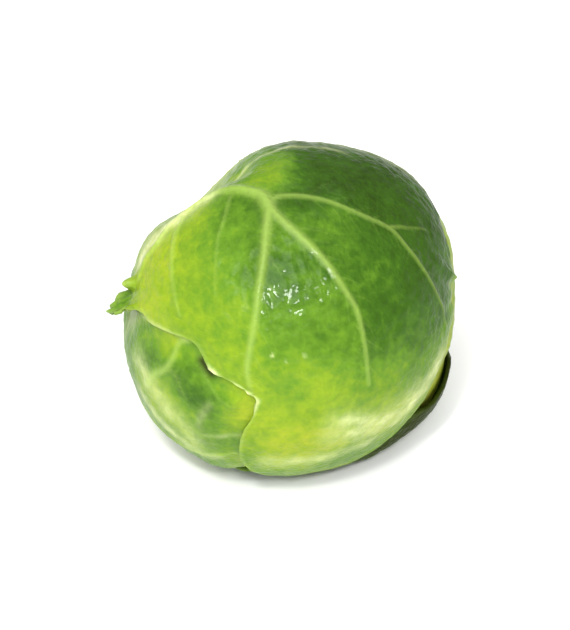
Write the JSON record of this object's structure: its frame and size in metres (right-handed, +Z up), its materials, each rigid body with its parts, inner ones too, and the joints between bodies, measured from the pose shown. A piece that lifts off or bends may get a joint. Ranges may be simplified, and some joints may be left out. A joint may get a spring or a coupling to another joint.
{
  "type": "brussels sprout",
  "caption": "Trimmed Brussels sprout lying on its side: a tight leafy head with cupped, veined wrapper leaves overlapping round a short cut stem.",
  "frame": {"origin": "on the surface the sprout lies on, under the middle of its bounding box", "axes": "+Z up from the surface; +Y towards the cut stem, which points back and a little up; -Y towards the crown; +X to the right when seen from the crown"},
  "size_m": [0.037, 0.0368, 0.0361],
  "materials": {
    "green_leaf": "waxy fresh leaf, mid to yellow green with pale raised veins and a soft sheen",
    "pale_leaf": "tight pale yellow-green inner leaves, faint sheen",
    "cut_stem": "pale cream-green cut stalk, matt and slightly fibrous"
  },
  "bodies": {
    "root": {"cut_stem": "cut_stem", "heart": "pale_leaf", "wrapper_leaf_1": "green_leaf", "wrapper_leaf_2": "green_leaf", "wrapper_leaf_3": "green_leaf", "wrapper_leaf_4": "green_leaf", "wrapper_leaf_5": "green_leaf", "wrapper_leaf_6": "green_leaf", "wrapper_leaf_7": "green_leaf", "wrapper_leaf_8": "green_leaf"}
  },
  "joints": []
}
